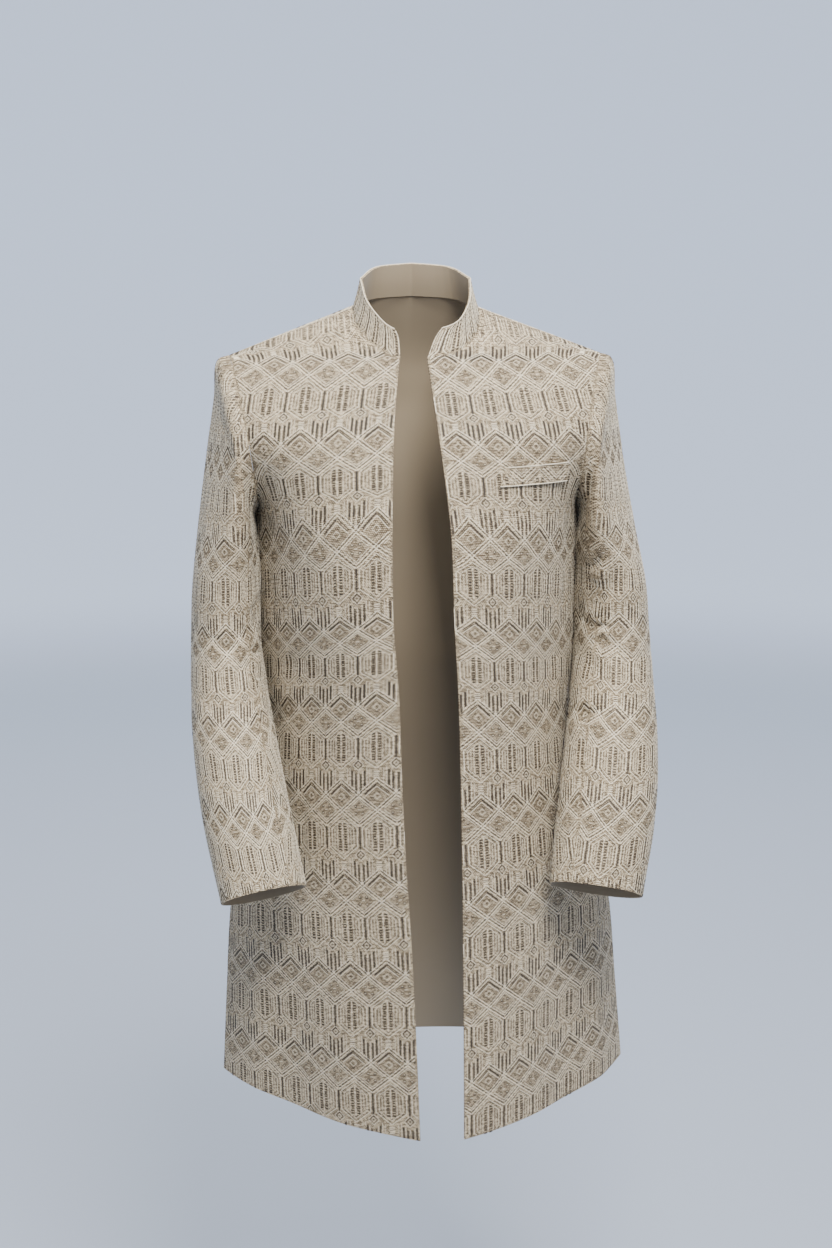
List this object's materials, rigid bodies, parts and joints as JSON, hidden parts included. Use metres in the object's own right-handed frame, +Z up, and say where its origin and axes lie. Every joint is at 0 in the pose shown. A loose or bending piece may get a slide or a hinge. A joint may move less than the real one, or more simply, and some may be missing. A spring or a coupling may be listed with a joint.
{
  "type": "sherwani coat",
  "caption": "Knee-length open-fronted sherwani coat in the hollow shape it has when worn, with a low stand collar, long sleeves, a chest pocket welt and geometric embroidery all over.",
  "frame": {"origin": "the middle of the neck opening, level with the two points where the shoulder seams meet the collar; the mount wearer_neck", "axes": "+Z up along the wearer's neck, +X to the wearer's left, -Y to the front of the coat"},
  "size_m": [0.5445, 0.3322, 0.9938],
  "materials": {
    "embroidered_cloth": "closely woven raw-silk cloth with dense beige and taupe embroidery, soft sheen"
  },
  "bodies": {
    "root": {"back": "embroidered_cloth", "collar": "embroidered_cloth", "front_left": "embroidered_cloth", "front_right": "embroidered_cloth", "pocket_welt": "embroidered_cloth", "top_sleeve_left": "embroidered_cloth", "top_sleeve_right": "embroidered_cloth", "under_sleeve_left": "embroidered_cloth", "under_sleeve_right": "embroidered_cloth"}
  },
  "joints": []
}
